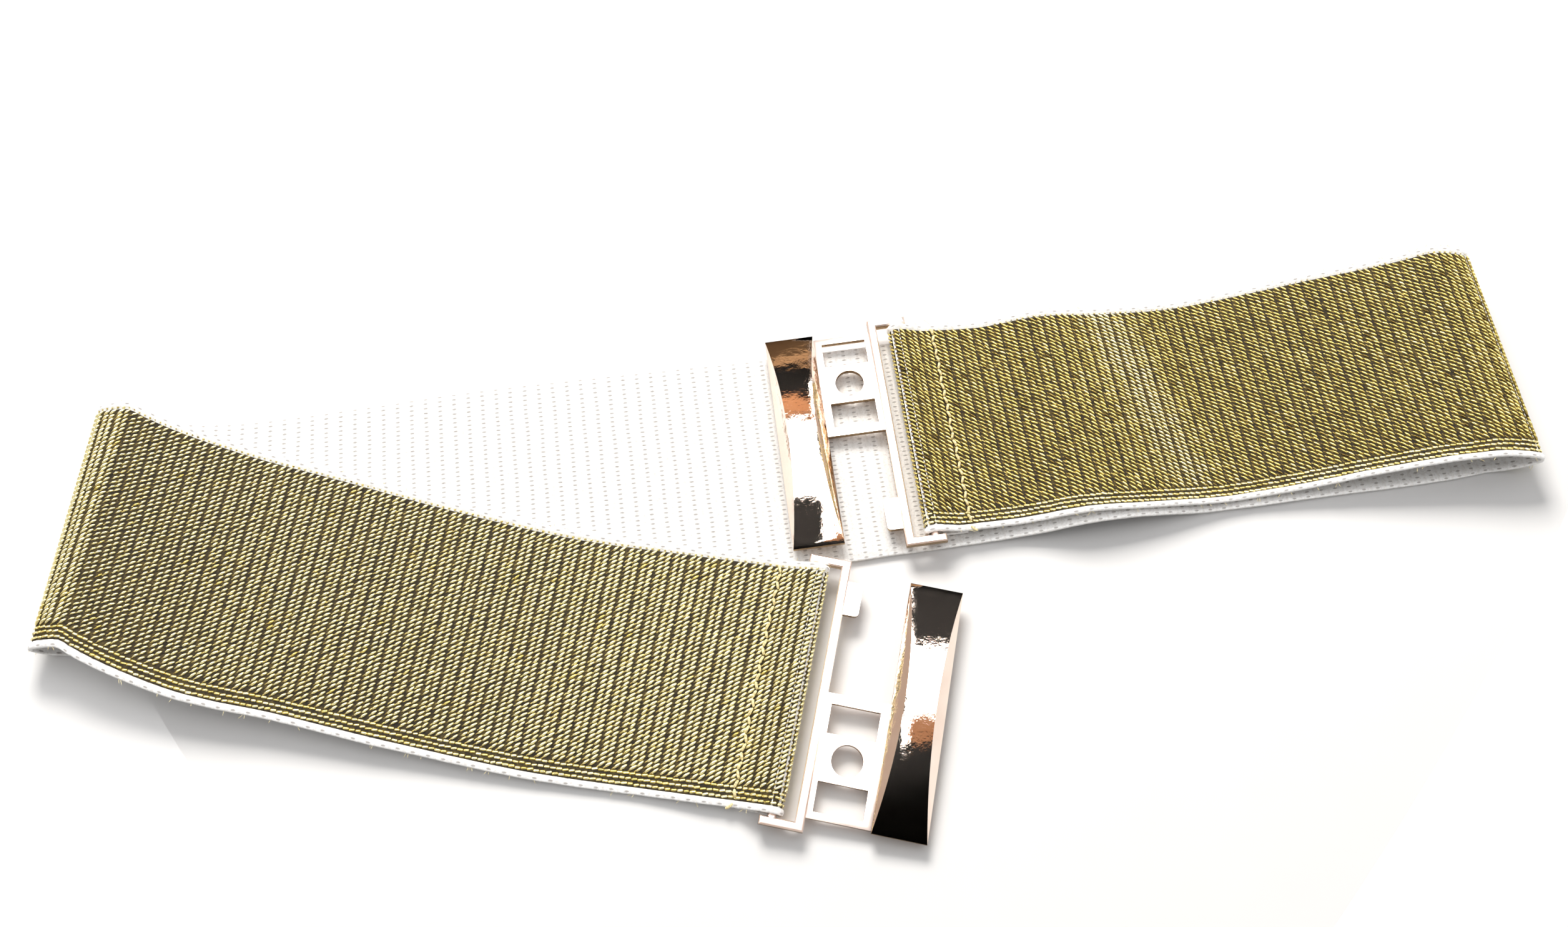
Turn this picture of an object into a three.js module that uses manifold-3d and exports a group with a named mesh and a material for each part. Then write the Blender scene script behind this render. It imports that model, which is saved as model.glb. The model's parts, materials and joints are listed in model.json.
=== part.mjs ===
// A wide elastic stretch belt, unfastened and folded flat on a table.
// One continuous strip of elastic, gold face outward and white face inward, ends in two sewn eyes.
// Each eye holds the rod of one half of an interlocking clasp. Millimetres, +Z up.

import * as THREE from "three";
import { mergeVertices } from "three/addons/utils/BufferGeometryUtils.js";
import Module from "manifold-3d";

const wasm = await Module();
wasm.setup();

// Driving dimensions

const clear = 0.3; // between pieces that touch on the real belt
const fuse = 0.2; // how far two joined shapes reach into each other

const elastic = {
  width: 60,
  thick: 1.2,
  stitch_line: 9.4, // from the tip of an eye to the seam across it
  hem_tail: 1.9, // beyond the seam
};

const folded = {
  span: 369, // left fold to right fold
  left_lift: 10.8, // how high the upper layer stands at the left fold's near corner
  right_lift: 9.3, // the same at the right fold's far corner
  swell: 4.2, // wave that both layers share to the right of the upper clasp half
  left_bulge: 8.2, // how far the left fold's round reaches past its straight layers
  right_bulge: 10.8,
  left_skew: 1.0, // power that moves the round's furthest point towards the second layer
  right_skew: 1.5,
};

const frame = {
  bar: 2.2, // long bar's width
  arm: 2.0, // end arm's thickness
  reach: 10.3, // from the long bar's outer face to the arm ends
  height: 2.4,
  chamfer: 0.35,
  end_radius: 0.9,
  slack: 1.2, // slot longer than the elastic is wide
  rod_radius: 1.1,
  window: 2.7, // open slot between the long bar and the eye's tip
};

const bow = {
  length: 59.8,
  width: 12.8,
  end: 1.05, // thickness at its two ends
  rise: 3.2, // added in the middle by the arched top
  side_slope: 50, // degrees, of the two cut sides
};

const plate = {
  reach: 15.0, // from the bow bar to the frame
  height: 1.4,
  inset: 0.7, // from the bow bar's end
  half_gap: 0.15, // from the middle of the bow bar, so that two plates meet side by side
  slide: 0.15, // clear height under the free half of the bow bar
  end_margin: 1.6,
  middle_margin: 2.4,
  opening: 7.0, // each rectangular opening, along the bow bar
  bow_margin: 2.0,
  frame_margin: 1.3,
  hole_radius: 3.75,
};

const lug = {
  reach: 3.8,
  length: 8.4,
  from_end: 5.0, // from the frame's outer end
  radius: 1.0,
};

// Where the two clasp halves lie: shares of the folded span and of the elastic's width, and degrees
const upper_seat = { along: 0.571, across: 0.141, turn: 6.99 };
const lower_seat = { along: 0.4875, across: -0.99, turn: 168.82 };

// The runs of elastic between the folds and the clasps. along: share of the folded span from the left
// fold. across: share of the width, of the run's middle. lean: degrees, of the line across the strip.
// far, near: clear height under each edge, as a share of the lift or swell that the run follows.

const left_upper_run = [
  { along: 0.398, across: -0.902, lean: 9.5, far: 0.02, near: 0.02, wide: 1.008 },
  { along: 0.328, across: -0.839, lean: 8.0, far: 0.04, near: 0.06, wide: 1.01 },
  { along: 0.244, across: -0.724, lean: 6.5, far: 0.1, near: 0.2, wide: 1.03 },
  { along: 0.168, across: -0.606, lean: 5.2, far: 0.2, near: 0.36, wide: 1.055 },
  { along: 0.104, across: -0.512, lean: 4.0, far: 0.3, near: 0.5, wide: 1.085 },
  { along: 0.052, across: -0.4, lean: 3.0, far: 0.42, near: 0.66, wide: 1.085 },
  { along: 0.019, across: -0.307, lean: 2.0, far: 0.5, near: 0.72, wide: 1.085 },
];

const under_run = [
  { along: 0.019, across: -0.305, lean: -1.0, far: 0.02, near: 0.02, wide: 1.085 },
  { along: 0.06, across: -0.335, lean: -5.0, far: 0, near: 0, wide: 1.05 },
  { along: 0.106, across: -0.317, lean: -8.0, far: 0, near: 0, wide: 1.02 },
  { along: 0.182, across: -0.24, lean: -9.0, far: 0, near: 0, wide: 1.0 },
  { along: 0.267, across: -0.152, lean: -9.0, far: 0, near: 0, wide: 1.0 },
  { along: 0.371, across: -0.07, lean: -8.5, far: 0, near: 0, wide: 1.0 },
  { along: 0.48, across: 0.008, lean: -8.0, far: 0, near: 0, wide: 1.0 },
  { along: 0.575, across: 0.094, lean: -8.0, far: 0, near: 0, wide: 1.0 },
  { along: 0.61, across: 0.124, lean: -8.0, far: 0.02, near: 0.02, wide: 1.0 },
  { along: 0.642, across: 0.15, lean: -8.0, far: 0, near: 0, wide: 1.0 },
  { along: 0.673, across: 0.178, lean: -8.0, far: 0, near: 0, wide: 1.0 },
  { along: 0.71, across: 0.21, lean: -8.0, far: 0, near: 0, wide: 1.0 },
  { along: 0.759, across: 0.253, lean: -8.0, far: 0, near: 0, wide: 1.0 },
  { along: 0.791, across: 0.28, lean: -8.0, far: 0.02, near: 0.02, wide: 1.0 },
  { along: 0.854, across: 0.337, lean: -8.0, far: 0.03, near: 0, wide: 1.0 },
  { along: 0.913, across: 0.395, lean: -7.5, far: 0.1, near: 0, wide: 1.015 },
  { along: 0.962, across: 0.455, lean: -6.5, far: 0.16, near: 0.02, wide: 1.03 },
];

const right_upper_run = [
  { along: 0.962, across: 0.465, lean: -5.5, far: 1.0, near: 0.73, wide: 1.03 },
  { along: 0.925, across: 0.43, lean: -5.5, far: 0.84, near: 0.6, wide: 1.0 },
  { along: 0.876, across: 0.383, lean: -6.0, far: 0.62, near: 0.38, wide: 0.99 },
  { along: 0.825, across: 0.33, lean: -6.5, far: 0.36, near: 0.13, wide: 0.985 },
  { along: 0.773, across: 0.28, lean: -7.0, far: 0.12, near: 0.05, wide: 0.985 },
  { along: 0.722, across: 0.238, lean: -7.0, far: 0.02, near: 0.04, wide: 0.98 },
  { along: 0.673, across: 0.21, lean: -7.0, far: 0.03, near: 0.06, wide: 0.985 },
  { along: 0.632, across: 0.183, lean: -7.0, far: 0.02, near: 0.08, wide: 0.99 },
];

// The shared wave: its middle and half reach as shares of the folded span
const wave = { middle: 0.688, reach: 0.082 };

const steps = {
  run: 3, // rows of faces between two table rows
  fold: 10, // rows round a fold
  eye: 10, // rows round a rod
  across: 3,
  arc: 20,
  round: 16,
};

// Sizes that follow

const to_radians = Math.PI / 180;
const left_end = -folded.span / 2;
const eye_inner = frame.rod_radius + clear;
const eye_outer = eye_inner + elastic.thick;
const slot_length = elastic.width + frame.slack;
const frame_length = slot_length + 2 * frame.arm;
const frame_start = bow.width + plate.reach;
const rod_at = frame_start + frame.bar + frame.window + eye_outer;
const arm_end = frame_start + frame.reach;
const arm_overhang = arm_end - rod_at;
const arm_sweep = Math.hypot(arm_overhang - frame.end_radius, frame.height / 2 - frame.end_radius) + frame.end_radius;
const bow_base = plate.height + plate.slide;
const seam_at = elastic.stitch_line - eye_outer;
const hem_end = seam_at + elastic.hem_tail;

// Solid helpers

function manifold_of(geometry) {
  const bare = geometry.clone();
  bare.deleteAttribute("normal");
  bare.deleteAttribute("uv");
  const merged = mergeVertices(bare, 1e-4);
  const mesh = new wasm.Mesh({
    numProp: 3,
    vertProperties: new Float32Array(merged.attributes.position.array),
    triVerts: new Uint32Array(merged.index.array),
  });
  return new wasm.Manifold(mesh);
}

function geometry_of(solid) {
  const mesh = solid.getMesh();
  const geometry = new THREE.BufferGeometry();
  geometry.setAttribute("position", new THREE.BufferAttribute(new Float32Array(mesh.vertProperties), 3));
  geometry.setIndex(new THREE.BufferAttribute(new Uint32Array(mesh.triVerts), 1));
  geometry.computeVertexNormals();
  return geometry;
}

function joined(solids) {
  return solids.reduce((whole, next) => whole.add(next));
}

// A shape in the (x, y) plane, raised from one height to another
function slab(shape, low, high, bevel = 0) {
  const geometry = new THREE.ExtrudeGeometry(shape, {
    depth: high - low - 2 * bevel,
    bevelEnabled: bevel > 0,
    bevelThickness: bevel,
    bevelSize: bevel,
    bevelOffset: -bevel,
    bevelSegments: 1,
    curveSegments: steps.arc,
  });
  geometry.translate(0, 0, low + bevel);
  return manifold_of(geometry);
}

// A profile drawn in (x, z), swept along y between two places
function sweep_along_y(profile, from, to) {
  const geometry = new THREE.ExtrudeGeometry(profile, {
    depth: to - from,
    bevelEnabled: false,
    curveSegments: steps.arc,
  });
  geometry.rotateX(Math.PI / 2);
  geometry.translate(0, to, 0);
  return manifold_of(geometry);
}

// A profile drawn in (y, z), swept along x between two places
function sweep_along_x(profile, from, to) {
  const geometry = new THREE.ExtrudeGeometry(profile, {
    depth: to - from,
    bevelEnabled: false,
    curveSegments: steps.arc,
  });
  geometry.rotateX(Math.PI / 2);
  geometry.rotateZ(Math.PI / 2);
  geometry.translate(from, 0, 0);
  return manifold_of(geometry);
}

function outline(points) {
  return new THREE.Shape(points.map(([x, y]) => new THREE.Vector2(x, y)));
}

function rectangle(x0, y0, x1, y1) {
  return outline([[x0, y0], [x1, y0], [x1, y1], [x0, y1]]);
}

// One half of the clasp, in its own frame: x from the bow bar's outer edge towards the elastic,
// y along the rod with the plate on the positive side, z up from the casting's underside.

function frame_solid() {
  const end = frame_length / 2;
  const slot = slot_length / 2;
  const inner = frame_start + frame.bar;
  const bracket = outline([
    [frame_start, -end],
    [arm_end, -end],
    [arm_end, -slot],
    [inner, -slot],
    [inner, slot],
    [arm_end, slot],
    [arm_end, end],
    [frame_start, end],
  ]);
  const bar_and_arms = slab(bracket, 0, frame.height, frame.chamfer);
  return bar_and_arms.intersect(sweep_along_y(rounded_end_profile(), -end, end));
}

// Side view of the frame with its arm ends rounded, so that they swing clear of what lies below
function rounded_end_profile() {
  const radius = frame.end_radius;
  const profile = new THREE.Shape();
  profile.moveTo(frame_start, 0);
  profile.lineTo(arm_end - radius, 0);
  profile.absarc(arm_end - radius, radius, radius, -Math.PI / 2, 0, false);
  profile.absarc(arm_end - radius, frame.height - radius, radius, 0, Math.PI / 2, false);
  profile.lineTo(frame_start, frame.height);
  return profile;
}

function rod_solid() {
  const length = slot_length + frame.arm;
  const rod = new THREE.CylinderGeometry(frame.rod_radius, frame.rod_radius, length, steps.round);
  rod.translate(rod_at, 0, frame.height / 2);
  return manifold_of(rod);
}

function plate_solid() {
  const low_y = plate.half_gap;
  const high_y = bow.length / 2 - plate.inset;
  const shape = rectangle(bow.width - fuse, low_y, frame_start + frame.bar / 2, high_y);
  const window_start = bow.width + plate.bow_margin;
  const window_end = frame_start - plate.frame_margin;
  const near_window = low_y + plate.middle_margin;
  const far_window = high_y - plate.end_margin - plate.opening;
  for (const y of [near_window, far_window]) {
    shape.holes.push(rectangle(window_start, y, window_end, y + plate.opening));
  }
  const hole = new THREE.Path();
  const hole_y = (near_window + plate.opening + far_window) / 2;
  hole.absarc((window_start + window_end) / 2, hole_y, plate.hole_radius, 0, 2 * Math.PI, false);
  shape.holes.push(hole);
  const foot = rectangle(plate.inset, low_y, bow.width, high_y);
  return slab(shape, 0, plate.height).add(slab(foot, 0, bow_base + fuse));
}

function bow_solid() {
  const half = bow.length / 2;
  const shoulder = bow_base + bow.end;
  const arc_radius = (half * half + bow.rise * bow.rise) / (2 * bow.rise);
  const arc_centre = shoulder + bow.rise - arc_radius;
  const spread = Math.asin(half / arc_radius);
  const arched = new THREE.Shape();
  arched.moveTo(-half, bow_base);
  arched.lineTo(half, bow_base);
  arched.absarc(0, arc_centre, arc_radius, Math.PI / 2 - spread, Math.PI / 2 + spread, false);
  const inset = (bow.rise + fuse) / Math.tan(bow.side_slope * to_radians);
  const crown = shoulder + bow.rise + fuse;
  const section = outline([
    [0, bow_base],
    [bow.width, bow_base],
    [bow.width, shoulder],
    [bow.width - inset, crown],
    [inset, crown],
    [0, shoulder],
  ]);
  return sweep_along_x(arched, -fuse, bow.width + fuse).intersect(sweep_along_y(section, -half, half));
}

function lug_solid() {
  const from = -frame_length / 2 + lug.from_end;
  const to = from + lug.length;
  const tip = frame_start - lug.reach;
  const root = frame_start + frame.bar / 2;
  const shape = new THREE.Shape();
  shape.moveTo(root, from);
  shape.lineTo(root, to);
  shape.lineTo(tip + lug.radius, to);
  shape.absarc(tip + lug.radius, to - lug.radius, lug.radius, Math.PI / 2, Math.PI, false);
  shape.absarc(tip + lug.radius, from + lug.radius, lug.radius, Math.PI, 1.5 * Math.PI, false);
  return slab(shape, 0, plate.height);
}

function clasp_half_geometry() {
  const whole = joined([frame_solid(), rod_solid(), plate_solid(), bow_solid(), lug_solid()]);
  const geometry = geometry_of(whole);
  geometry.translate(-rod_at, 0, -frame.height / 2);
  return geometry;
}

// The place of each rod. A seat's frame has x towards the elastic, y along the rod and z up.

const resting_on_layer = elastic.thick + clear;

function seat_matrix(seat, rod_height, roll) {
  const place = new THREE.Matrix4().makeTranslation(
    left_end + seat.along * folded.span,
    seat.across * elastic.width,
    rod_height,
  );
  const heading = new THREE.Matrix4().makeRotationZ(seat.turn * to_radians);
  return place.multiply(heading).multiply(new THREE.Matrix4().makeRotationX(roll));
}

// The upper half lies on the under layer, high enough for its arms to swing. The lower half lies on
// the table with its far end raised over the near edge of the under layer.
const upper_rod_height = resting_on_layer + arm_sweep;
const lower_roll = -Math.asin(resting_on_layer / elastic.width);
const lower_rod_height = eye_outer + resting_on_layer / 2;
const upper_place = seat_matrix(upper_seat, upper_rod_height, 0);
const lower_place = seat_matrix(lower_seat, lower_rod_height, lower_roll);

// How far the bow bar's end drops from level until its underside rests
const upper_tilt = Math.asin((upper_rod_height - frame.height / 2 - resting_on_layer) / rod_at);
const lower_tilt = Math.asin((eye_outer - frame.height / 2) / rod_at);

// Elastic strip

function swell_at(along) {
  const away = Math.abs(along - wave.middle) / wave.reach;
  return away < 1 ? folded.swell * 0.5 * (1 + Math.cos(Math.PI * away)) : 0;
}

// The two edge points, far then near, of one table row. base and lift give the clear height below.
function edge_points(row, far_base, near_base, lift) {
  const x = left_end + row.along * folded.span;
  const y = row.across * elastic.width;
  const half = (row.wide * elastic.width) / 2;
  const lean = row.lean * to_radians;
  const dx = half * Math.sin(lean);
  const dy = half * Math.cos(lean);
  const middle = elastic.thick / 2;
  return [
    new THREE.Vector3(x + dx, y + dy, far_base + row.far * lift + middle),
    new THREE.Vector3(x - dx, y - dy, near_base + row.near * lift + middle),
  ];
}

// Rows round a fold, between the last row before it and the first row after it
function fold_rows(before, after, bulge, skew) {
  const rows = [];
  for (let i = 1; i < steps.fold; i += 1) {
    const angle = (i / steps.fold) * Math.PI;
    const blend = (1 - Math.cos(angle)) / 2;
    const reach = bulge * Math.sin(Math.PI * (i / steps.fold) ** skew);
    rows.push([0, 1].map((edge) => {
      const point = before[edge].clone().lerp(after[edge], blend);
      point.x += reach;
      return point;
    }));
  }
  return rows;
}

// A row across the strip in a seat's frame, far edge first. side tells which end of the rod is far.
function seat_row(place, side, x, z) {
  const half = elastic.width / 2;
  return [side, -side].map((end) => new THREE.Vector3(x, end * half, z).applyMatrix4(place));
}

// The sewn eye: from the hem's end, under and round the rod, and down to the seam over the hem
function eye_rows(place, side) {
  const middle = eye_inner + elastic.thick / 2;
  const seam_height = -middle + elastic.thick + clear;
  const leaves_at = Math.atan2(seam_height, seam_at) + Math.acos(middle / Math.hypot(seam_at, seam_height));
  const turn = 1.5 * Math.PI - leaves_at;
  const hem = [hem_end, hem_end / 2].map((x) => seat_row(place, side, x, -middle));
  const round = [];
  for (let i = 0; i <= steps.eye; i += 1) {
    const angle = 1.5 * Math.PI - (i / steps.eye) * turn;
    round.push(seat_row(place, side, middle * Math.cos(angle), middle * Math.sin(angle)));
  }
  const last = round.at(-1);
  const seam = seat_row(place, side, seam_at, seam_height);
  const halfway = last.map((point, edge) => point.clone().lerp(seam[edge], 0.5));
  return { before: [...hem, ...round, halfway], seam };
}

function smooth_rows(rows, per_interval) {
  const curves = [0, 1].map((edge) =>
    new THREE.CatmullRomCurve3(rows.map((row) => row[edge]), false, "centripetal"));
  const count = (rows.length - 1) * per_interval;
  const result = [];
  for (let i = 0; i <= count; i += 1) {
    result.push(curves.map((curve) => curve.getPoint(i / count)));
  }
  return result;
}

function strip_rows() {
  const upper_left = left_upper_run.map((row) =>
    edge_points(row, resting_on_layer, 0, folded.left_lift));
  const under = under_run.map((row) => {
    const swell = swell_at(row.along);
    return edge_points(row, swell, swell, folded.right_lift);
  });
  const upper_right = right_upper_run.map((row) => {
    const base = swell_at(row.along) + resting_on_layer;
    return edge_points(row, base, base, folded.right_lift);
  });
  const lower_eye = eye_rows(lower_place, -1);
  const upper_eye = eye_rows(upper_place, 1);
  const left = smooth_rows([lower_eye.seam, ...upper_left], steps.run);
  const flat = smooth_rows(under, steps.run);
  const right = smooth_rows([...upper_right, upper_eye.seam], steps.run);
  return [
    ...lower_eye.before,
    ...left,
    ...fold_rows(left.at(-1), flat[0], -folded.left_bulge, folded.left_skew),
    ...flat,
    ...fold_rows(flat.at(-1), right[0], folded.right_bulge, folded.right_skew),
    ...right,
    ...upper_eye.before.reverse(),
  ];
}

// A closed strip of even thickness about rows of edge points
function strip_geometry(rows, thick) {
  const grid = rows.map(([far, near]) => {
    const line = [];
    for (let j = 0; j <= steps.across; j += 1) {
      line.push(far.clone().lerp(near, j / steps.across));
    }
    return line;
  });
  const normal_at = (i, j) => {
    const before = grid[Math.max(i - 1, 0)][j];
    const after = grid[Math.min(i + 1, grid.length - 1)][j];
    const along = after.clone().sub(before);
    const across = grid[i][steps.across].clone().sub(grid[i][0]);
    return across.cross(along).normalize();
  };
  const positions = [];
  grid.forEach((line, i) => {
    const normals = line.map((_, j) => normal_at(i, j));
    for (let j = 0; j <= steps.across; j += 1) {
      positions.push(...line[j].clone().addScaledVector(normals[j], thick / 2).toArray());
    }
    for (let j = steps.across; j >= 0; j -= 1) {
      positions.push(...line[j].clone().addScaledVector(normals[j], -thick / 2).toArray());
    }
  });
  const ring = 2 * (steps.across + 1);
  const index = [];
  for (let i = 0; i + 1 < grid.length; i += 1) {
    for (let k = 0; k < ring; k += 1) {
      const a = i * ring + k;
      const b = i * ring + ((k + 1) % ring);
      index.push(a, b, a + ring, b, b + ring, a + ring);
    }
  }
  const last = (grid.length - 1) * ring;
  for (let k = 0; k < steps.across; k += 1) {
    const low = ring - 1 - k;
    index.push(k, low, k + 1, k + 1, low, low - 1);
    index.push(last + k, last + k + 1, last + low, last + k + 1, last + low - 1, last + low);
  }
  const geometry = new THREE.BufferGeometry();
  geometry.setAttribute("position", new THREE.BufferAttribute(new Float32Array(positions), 3));
  geometry.setIndex(index);
  geometry.computeVertexNormals();
  return geometry;
}

// Scene

const gold_elastic = new THREE.MeshStandardMaterial({ color: 0xb59a45, roughness: 0.55, metalness: 0.45 });
const pale_gold = () => new THREE.MeshStandardMaterial({ color: 0xe8cdb4, roughness: 0.14, metalness: 1.0 });

function clasp_half(name, place, tilt) {
  const mesh = new THREE.Mesh(clasp_half_geometry(), pale_gold());
  mesh.name = name;
  mesh.rotation.y = -tilt;
  const seat = new THREE.Group();
  seat.applyMatrix4(place);
  seat.add(mesh);
  return seat;
}

const band = new THREE.Mesh(strip_geometry(strip_rows(), elastic.thick), gold_elastic);
band.name = "elastic_band";

const belt = new THREE.Group();
belt.add(band);
belt.add(clasp_half("clasp_half_upper", upper_place, upper_tilt));
belt.add(clasp_half("clasp_half_lower", lower_place, lower_tilt));

// The origin is the middle of the belt's box, on the table
belt.updateMatrixWorld(true);
const box = new THREE.Box3().setFromObject(belt, true);
belt.position.set(-(box.min.x + box.max.x) / 2, -(box.min.y + box.max.y) / 2, -box.min.z);

export default belt;
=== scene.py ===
# Looks of a wide elastic stretch belt, folded flat, with an open two-part clasp.
# Every length is in metres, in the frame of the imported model.

import json
import math

import bmesh
import bpy
import numpy as np
from mathutils import Matrix, Vector


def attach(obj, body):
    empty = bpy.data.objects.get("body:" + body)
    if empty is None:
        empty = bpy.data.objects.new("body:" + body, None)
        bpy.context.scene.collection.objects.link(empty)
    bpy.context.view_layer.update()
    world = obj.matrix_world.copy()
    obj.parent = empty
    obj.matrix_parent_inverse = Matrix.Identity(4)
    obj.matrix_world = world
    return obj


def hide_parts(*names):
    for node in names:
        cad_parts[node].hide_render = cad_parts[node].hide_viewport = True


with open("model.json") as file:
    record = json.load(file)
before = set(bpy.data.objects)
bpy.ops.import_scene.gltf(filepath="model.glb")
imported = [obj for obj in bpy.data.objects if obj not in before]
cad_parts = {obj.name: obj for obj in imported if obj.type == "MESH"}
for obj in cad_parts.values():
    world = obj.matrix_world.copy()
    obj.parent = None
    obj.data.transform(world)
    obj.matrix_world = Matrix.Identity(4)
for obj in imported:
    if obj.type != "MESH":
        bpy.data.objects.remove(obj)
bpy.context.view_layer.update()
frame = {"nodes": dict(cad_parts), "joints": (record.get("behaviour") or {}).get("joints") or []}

MM = 0.001
WELD = 0.002 * MM  # corners nearer than this are one
rng = np.random.default_rng(7)

# The elastic's build, as shares of its thickness above the white face
GROUND_TOP = 0.62  # of the gold ground
SELVAGE_TOP = 1.0
MIDDLE_TOP = 0.55  # of the white elastic under the gold ground
FLOAT_FOOT = 0.55  # where the floats' undersides lie
SELVAGE = 1.35 * MM  # width of the white edge on the gold face

# The weave: gold floats in columns across the strip
COLUMN_PITCH = 1.86 * MM
FLOAT_PITCH = 1.17 * MM
FLOAT_LENGTH = 2.15 * MM
FLOAT_WIDTH = 0.66 * MM
FLOAT_RISE = 0.62 * MM
FLOAT_LEAN = math.radians(44)  # from the strip's length towards its far edge
THIN_LENGTH = 1.5 * MM
THIN_WIDTH = 0.42 * MM
THIN_RISE = 0.26 * MM
COLUMN_SHIFT = 0.06  # of the pitch, that the two columns of a pair lean together

EDGE_ROWS = 3  # rows of floats that run along the near edge
EDGE_PITCH = 1.5 * MM
EDGE_LENGTH = 1.62 * MM
EDGE_WIDTH = 0.85 * MM
EDGE_RISE = 0.42 * MM
EDGE_LEAN = 0.16  # radians
FAR_LEAN = 1.0  # of the single ragged row at the far edge

STITCH_PITCH = 2.1 * MM
STITCH_RADIUS = 0.34 * MM
STITCH_ZIG = 0.28 * MM  # how far a stitch slants to each side
SEAM_SHARE = 0.955  # of the width, crossed by a seam
SEAM_INSET = 0.02  # from the far edge, as a share of the width

FIBRES = 150
FIBRE_RADIUS = 0.05 * MM


# Materials

def material(name):
    made = bpy.data.materials.new(name)
    made.use_nodes = True
    nodes = made.node_tree.nodes
    nodes.clear()
    output = nodes.new("ShaderNodeOutputMaterial")
    shader = nodes.new("ShaderNodeBsdfPrincipled")
    made.node_tree.links.new(shader.outputs[0], output.inputs[0])
    return made, made.node_tree, shader


def noise(tree, scale, detail=3.0, roughness=0.5):
    node = tree.nodes.new("ShaderNodeTexNoise")
    node.inputs["Scale"].default_value = scale
    node.inputs["Detail"].default_value = detail
    node.inputs["Roughness"].default_value = roughness
    place = tree.nodes.new("ShaderNodeTexCoord")
    tree.links.new(place.outputs["Object"], node.inputs["Vector"])
    return node.outputs["Fac"]


def ramp(tree, value, stops):
    node = tree.nodes.new("ShaderNodeValToRGB")
    while len(node.color_ramp.elements) < len(stops):
        node.color_ramp.elements.new(0.5)
    for element, (place, colour) in zip(node.color_ramp.elements, stops):
        element.position = place
        element.color = (*colour, 1.0)
    tree.links.new(value, node.inputs["Fac"])
    return node.outputs["Color"]


def bump(tree, shader, height, strength, distance):
    node = tree.nodes.new("ShaderNodeBump")
    node.inputs["Strength"].default_value = strength
    node.inputs["Distance"].default_value = distance
    tree.links.new(height, node.inputs["Height"])
    tree.links.new(node.outputs[0], shader.inputs["Normal"])


def multiplied(tree, factor, first, second):
    node = tree.nodes.new("ShaderNodeMix")
    node.data_type = "RGBA"
    node.blend_type = "MULTIPLY"
    node.inputs[0].default_value = factor
    tree.links.new(first, node.inputs[6])
    tree.links.new(second, node.inputs[7])
    return node.outputs[2]


def tone(tree):
    """Each float's own number from 0 to 1."""
    node = tree.nodes.new("ShaderNodeAttribute")
    node.attribute_name = "tone"
    return node.outputs["Fac"]


def gold_floats(name, dark, mid, light, roughness):
    """Metallic yarn: each float has its own tone, with flecks and a fine grain."""
    made, tree, shader = material(name)
    colour = ramp(tree, tone(tree), [(0.0, dark), (0.45, mid), (1.0, light)])
    fleck = ramp(tree, noise(tree, 2600.0, 2.0), [(0.35, (0.72, 0.66, 0.5)), (0.6, (1.0, 1.0, 1.0))])
    tree.links.new(multiplied(tree, 0.55, colour, fleck), shader.inputs["Base Color"])
    shader.inputs["Metallic"].default_value = 0.72
    shader.inputs["Specular IOR Level"].default_value = 0.8
    shader.inputs["Roughness"].default_value = roughness
    bump(tree, shader, noise(tree, 5200.0, 2.0), 0.35, 0.00008)
    return made


def gold_ground_painted_shade():
    made, tree, shader = material("gold_ground_painted_shade")
    # Painted shade: the gold ground between the floats is painted near black, as the shade in the gaps
    # between them.
    colour = ramp(tree, noise(tree, 900.0, 4.0), [
        (0.3, (0.008, 0.005, 0.002)),
        (0.5, (0.024, 0.016, 0.004)),
        (0.7, (0.08, 0.055, 0.012)),
    ])
    tree.links.new(colour, shader.inputs["Base Color"])
    shader.inputs["Metallic"].default_value = 0.0
    shader.inputs["Specular IOR Level"].default_value = 0.12
    shader.inputs["Roughness"].default_value = 0.7
    bump(tree, shader, noise(tree, 2200.0, 3.0), 0.7, 0.0002)
    return made


STRIP_MAP = "strip"  # a map in millimetres, u along the strip and v across it


def wave(tree, scale, distortion, direction="X"):
    """Even waves along the strip (X) or across it (Y)."""
    node = tree.nodes.new("ShaderNodeTexWave")
    node.bands_direction = direction
    node.inputs["Scale"].default_value = scale
    node.inputs["Distortion"].default_value = distortion
    uv = tree.nodes.new("ShaderNodeUVMap")
    uv.uv_map = STRIP_MAP
    tree.links.new(uv.outputs[0], node.inputs["Vector"])
    return node.outputs["Fac"]


def white_weave():
    """White elastic with ribs across it and rows of dimples, with painted shade in the rib troughs and in
    the dimples.
    """
    made, tree, shader = material("white_weave")
    ribs = wave(tree, 0.17, 1.2)
    fibre = noise(tree, 1700.0, 4.0, 0.65)
    colour = ramp(tree, fibre, [
        (0.25, (0.66, 0.63, 0.60)),
        (0.5, (0.87, 0.86, 0.84)),
        (0.8, (0.95, 0.95, 0.94)),
    ])
    shade = ramp(tree, ribs, [(0.0, (0.93, 0.92, 0.91)), (0.6, (1.0, 1.0, 1.0))])
    ribbed = multiplied(tree, 0.8, colour, shade)
    dots = tree.nodes.new("ShaderNodeMath")
    dots.operation = "MULTIPLY"
    tree.links.new(wave(tree, 0.085, 0.6), dots.inputs[0])
    tree.links.new(wave(tree, 0.24, 0.8, "Y"), dots.inputs[1])
    # Painted shade: the dimples are painted grey, as shade in those small hollows.
    painted_dimple_shade = ramp(tree, dots.outputs[0], [(0.72, (1.0, 1.0, 1.0)), (0.88, (0.44, 0.42, 0.41))])
    tree.links.new(multiplied(tree, 0.9, ribbed, painted_dimple_shade), shader.inputs["Base Color"])
    shader.inputs["Roughness"].default_value = 0.88
    shader.inputs["Sheen Weight"].default_value = 0.25
    both = tree.nodes.new("ShaderNodeMath")
    both.operation = "ADD"
    tree.links.new(ribs, both.inputs[0])
    tree.links.new(fibre, both.inputs[1])
    bump(tree, shader, both.outputs[0], 0.5, 0.00025)
    return made


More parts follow.
